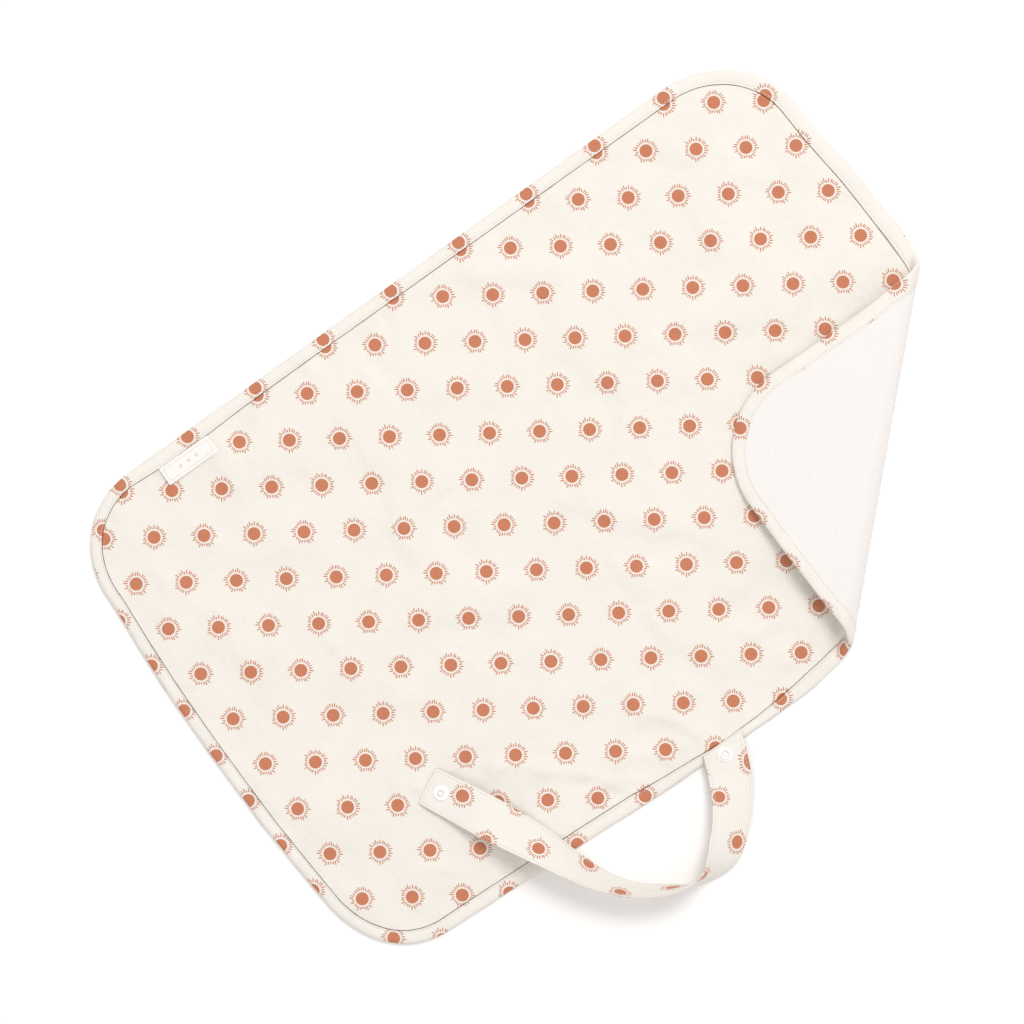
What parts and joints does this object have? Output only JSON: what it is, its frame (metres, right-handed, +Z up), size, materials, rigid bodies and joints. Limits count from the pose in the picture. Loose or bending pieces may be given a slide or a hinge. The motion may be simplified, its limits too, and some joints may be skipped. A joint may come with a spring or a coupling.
{
  "type": "changing pad",
  "caption": "Rectangular padded changing mat with rounded corners, printed face, fleece back, bound edge, woven label and a wrap strap with press snaps; one corner turned over.",
  "frame": {"origin": "middle of the underside, on the fleece of the middle third, where the pad rests", "axes": "+X along the pad, away from the label; +Y towards the label edge, away from the strap; +Z up, out of the printed face"},
  "size_m": [0.6654, 0.5304, 0.0349],
  "materials": {
    "printed_cloth": "smooth woven cotton with a repeating sun print, waterproof laminate behind",
    "binding_cloth": "the same woven cloth, folded into a binding",
    "fleece": "short soft nap",
    "wadding": "lofty fibre",
    "thread": "twisted polyester thread",
    "snap_resin": "moulded, glossy",
    "label_ribbon": "woven ribbon with a satin face"
  },
  "bodies": {
    "pad_centre": {"printed_face_centre": "printed_cloth", "wadding_centre": "wadding", "fleece_back_centre": "fleece", "binding_centre_label_edge": "binding_cloth", "binding_centre_strap_edge": "binding_cloth", "topstitching_centre": "thread"},
    "pad_left": {"printed_face_left": "printed_cloth", "wadding_left": "wadding", "fleece_back_left": "fleece", "binding_left": "binding_cloth", "topstitching_left": "thread"},
    "pad_right": {"printed_face_right": "printed_cloth", "wadding_right": "wadding", "fleece_back_right": "fleece", "binding_right_label_edge": "binding_cloth", "binding_right_strap_edge": "binding_cloth", "topstitching_right": "thread"},
    "curl_1": {"printed_face_curl_1": "printed_cloth", "wadding_curl_1": "wadding", "fleece_back_curl_1": "fleece", "binding_curl_1_strap_edge": "binding_cloth", "binding_curl_1_side_edge": "binding_cloth"},
    "curl_2": {"printed_face_curl_2": "printed_cloth", "wadding_curl_2": "wadding", "fleece_back_curl_2": "fleece", "binding_curl_2_strap_edge": "binding_cloth", "binding_curl_2_side_edge": "binding_cloth"},
    "corner": {"printed_face_corner": "printed_cloth", "wadding_corner": "wadding", "fleece_back_corner": "fleece", "binding_corner": "binding_cloth", "topstitching_corner": "thread"},
    "label": {"woven_label": "label_ribbon"},
    "strap_1": {"strap_run_1": "printed_cloth", "snap_base_cap": "snap_resin", "snap_base_socket": "snap_resin"},
    "strap_2": {"strap_run_2": "printed_cloth"},
    "strap_3": {"strap_run_3": "printed_cloth"},
    "strap_4": {"strap_run_4": "printed_cloth"},
    "strap_5": {"strap_run_5": "printed_cloth"},
    "strap_6": {"strap_run_6": "printed_cloth"},
    "strap_7": {"strap_run_7": "printed_cloth"},
    "strap_8": {"strap_run_8": "printed_cloth"},
    "strap_9": {"strap_run_9": "printed_cloth", "snap_tip_cap": "snap_resin", "snap_tip_stud": "snap_resin"}
  },
  "joints": [
    {"name": "left_end_fold", "type": "hinge", "parent": "pad_centre", "child": "pad_left", "pos_m": [-0.138, 0, -0.0005], "axis": [0, -1, 0], "range_deg": [0, 180]},
    {"name": "right_end_fold", "type": "hinge", "parent": "pad_centre", "child": "pad_right", "pos_m": [0.072, 0, -0.0046], "axis": [0, 1, 0], "range_deg": [0, 180]},
    {"name": "corner_turn", "type": "hinge", "parent": "pad_right", "child": "curl_1", "pos_m": [0.095, -0.225, 0.0023], "axis": [0.7188, 0.6952, 0], "range_deg": [0, 62.6]},
    {"name": "corner_turn_2", "type": "hinge", "parent": "curl_1", "child": "curl_2", "pos_m": [0.11052, -0.21934, 0.01526], "axis": [0.7134, 0.7006, -0.0149], "range_deg": [0, 62.6]},
    {"name": "corner_turn_3", "type": "hinge", "parent": "curl_2", "child": "corner", "pos_m": [0.11525, -0.2027, 0.02717], "axis": [0.721, 0.6923, -0.0308], "range_deg": [0, 62.6]},
    {"name": "strap_straighten", "type": "hinge", "parent": "pad_centre", "child": "strap_1", "pos_m": [-0.007, -0.216, 0.0072], "axis": [-0.93, 0.3551, 0.0946], "range_deg": [0, 18.87]},
    {"name": "strap_straighten_2", "type": "hinge", "parent": "strap_1", "child": "strap_2", "pos_m": [-0.021, -0.251, 0.008], "axis": [0.4063, 0.2393, 0.8819], "range_deg": [0, 17.73]},
    {"name": "strap_straighten_3", "type": "hinge", "parent": "strap_2", "child": "strap_3", "pos_m": [-0.042, -0.278, 0.0112], "axis": [0.5668, 0.1141, 0.8159], "range_deg": [0, 22.49]},
    {"name": "strap_straighten_4", "type": "hinge", "parent": "strap_3", "child": "strap_4", "pos_m": [-0.066, -0.293, 0.0172], "axis": [-0.466, 0.1693, 0.8684], "range_deg": [0, 32.94]},
    {"name": "strap_straighten_5", "type": "hinge", "parent": "strap_4", "child": "strap_5", "pos_m": [-0.09, -0.295, 0.018], "axis": [-0.0105, 0.0615, 0.9981], "range_deg": [0, 33.24]},
    {"name": "strap_straighten_6", "type": "hinge", "parent": "strap_5", "child": "strap_6", "pos_m": [-0.127, -0.275, 0.018], "axis": [-0.3557, 0.2737, 0.8937], "range_deg": [0, 26.98]},
    {"name": "strap_straighten_7", "type": "hinge", "parent": "strap_6", "child": "strap_7", "pos_m": [-0.15, -0.245, 0.0184], "axis": [-0.44, 0.6385, 0.6314], "range_deg": [0, 23.35]},
    {"name": "strap_straighten_8", "type": "hinge", "parent": "strap_7", "child": "strap_8", "pos_m": [-0.167, -0.205, 0.0199], "axis": [-0.0348, 0.9865, -0.1601], "range_deg": [0, 26.33]},
    {"name": "strap_straighten_9", "type": "hinge", "parent": "strap_8", "child": "strap_9", "pos_m": [-0.187, -0.164, 0.0134], "axis": [-0.5084, 0.8463, -0.1594], "range_deg": [0, 26.23]},
    {"name": "label_flip", "type": "hinge", "parent": "pad_left", "child": "label", "pos_m": [-0.219, 0.211, 0.00495], "axis": [-1, 0, 0], "range_deg": [0, 172]}
  ],
  "couplings": [
    {"joint": "corner_turn_2", "follows": "corner_turn", "ratio": 1},
    {"joint": "corner_turn_3", "follows": "corner_turn", "ratio": 1},
    {"joint": "strap_straighten_2", "follows": "strap_straighten", "ratio": 0.9391},
    {"joint": "strap_straighten_3", "follows": "strap_straighten", "ratio": 1.1913},
    {"joint": "strap_straighten_4", "follows": "strap_straighten", "ratio": 1.7451},
    {"joint": "strap_straighten_5", "follows": "strap_straighten", "ratio": 1.761},
    {"joint": "strap_straighten_6", "follows": "strap_straighten", "ratio": 1.4293},
    {"joint": "strap_straighten_7", "follows": "strap_straighten", "ratio": 1.2369},
    {"joint": "strap_straighten_8", "follows": "strap_straighten", "ratio": 1.3948},
    {"joint": "strap_straighten_9", "follows": "strap_straighten", "ratio": 1.3895}
  ]
}
